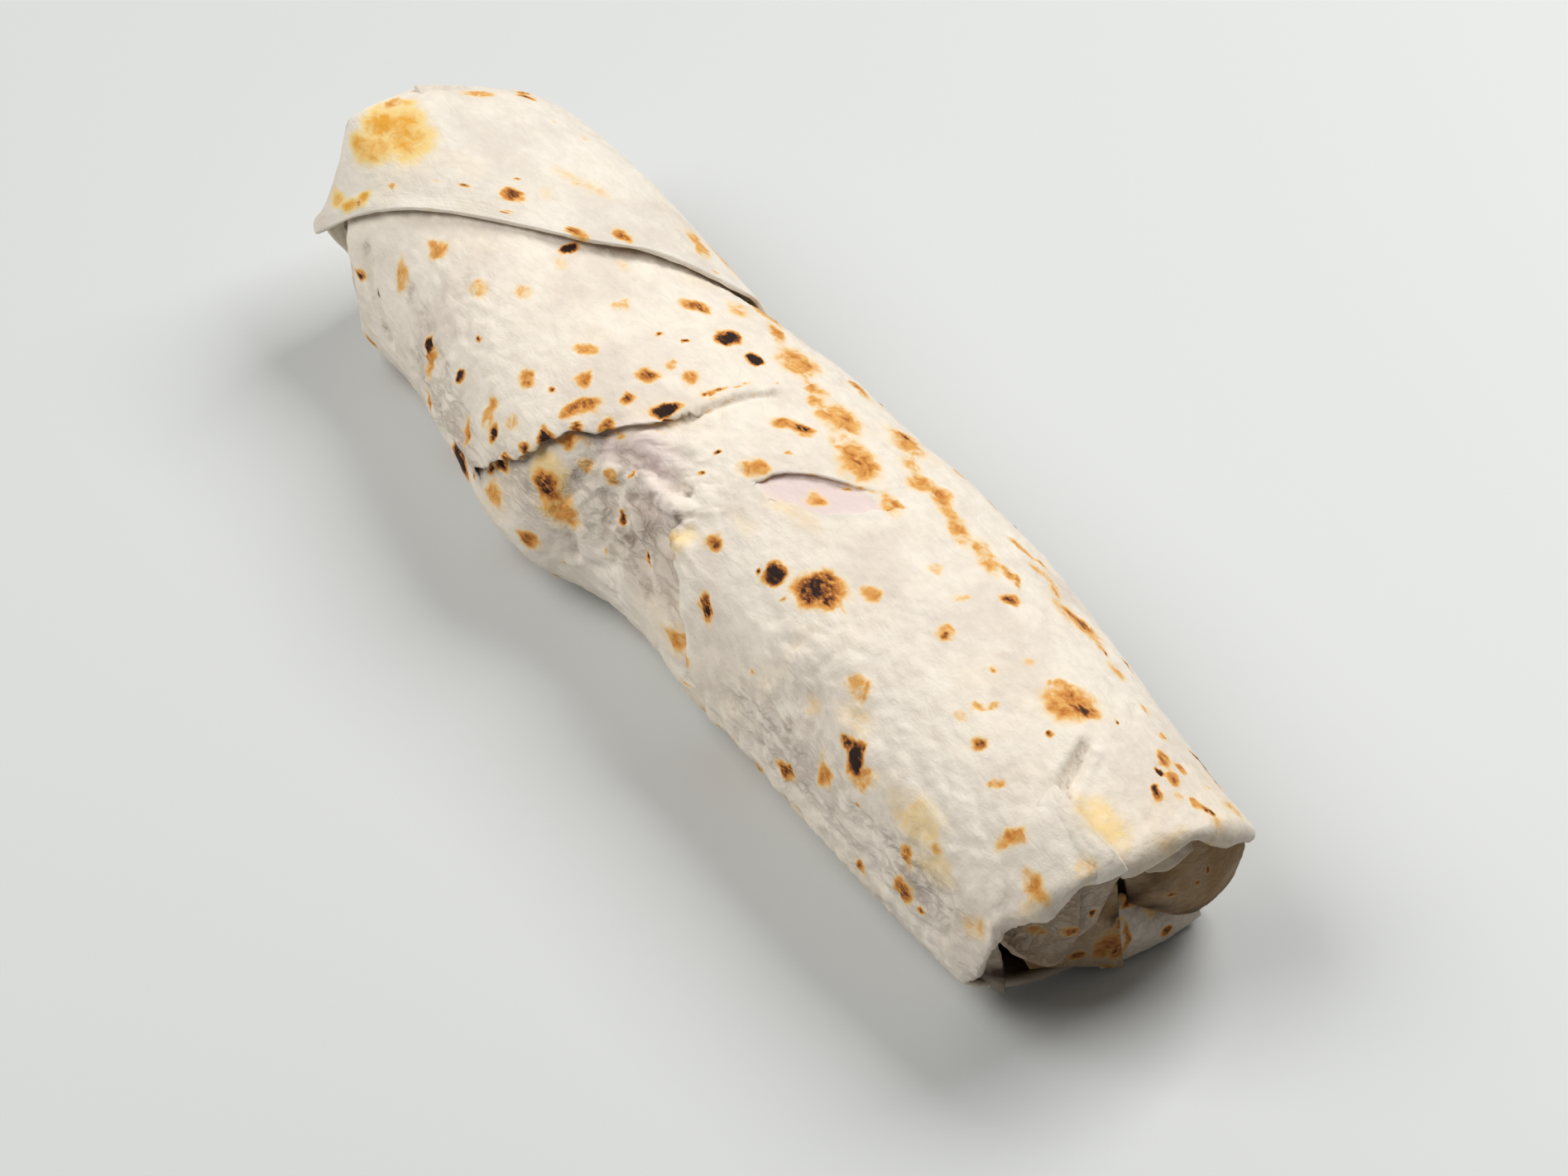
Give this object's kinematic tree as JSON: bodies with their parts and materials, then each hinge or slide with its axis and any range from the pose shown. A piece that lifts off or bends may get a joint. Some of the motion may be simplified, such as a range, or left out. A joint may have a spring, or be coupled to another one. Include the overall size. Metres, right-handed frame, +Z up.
{
  "type": "doner kebab wrap",
  "caption": "Toasted flatbread rolled round a filling, folded over at one end and tucked in at the other, lying on its flat underside.",
  "frame": {"origin": "middle of the wrap's bounding box, on the surface it lies on", "axes": "+X along the roll, towards the end with the folded-in leaves; +Y across it, away from the side with the torn edge; +Z up"},
  "size_m": [0.2698, 0.0814, 0.0529],
  "materials": {
    "flatbread": "matt, lightly toasted bread"
  },
  "bodies": {
    "root": {"flatbread_wrap": "flatbread"}
  },
  "joints": []
}
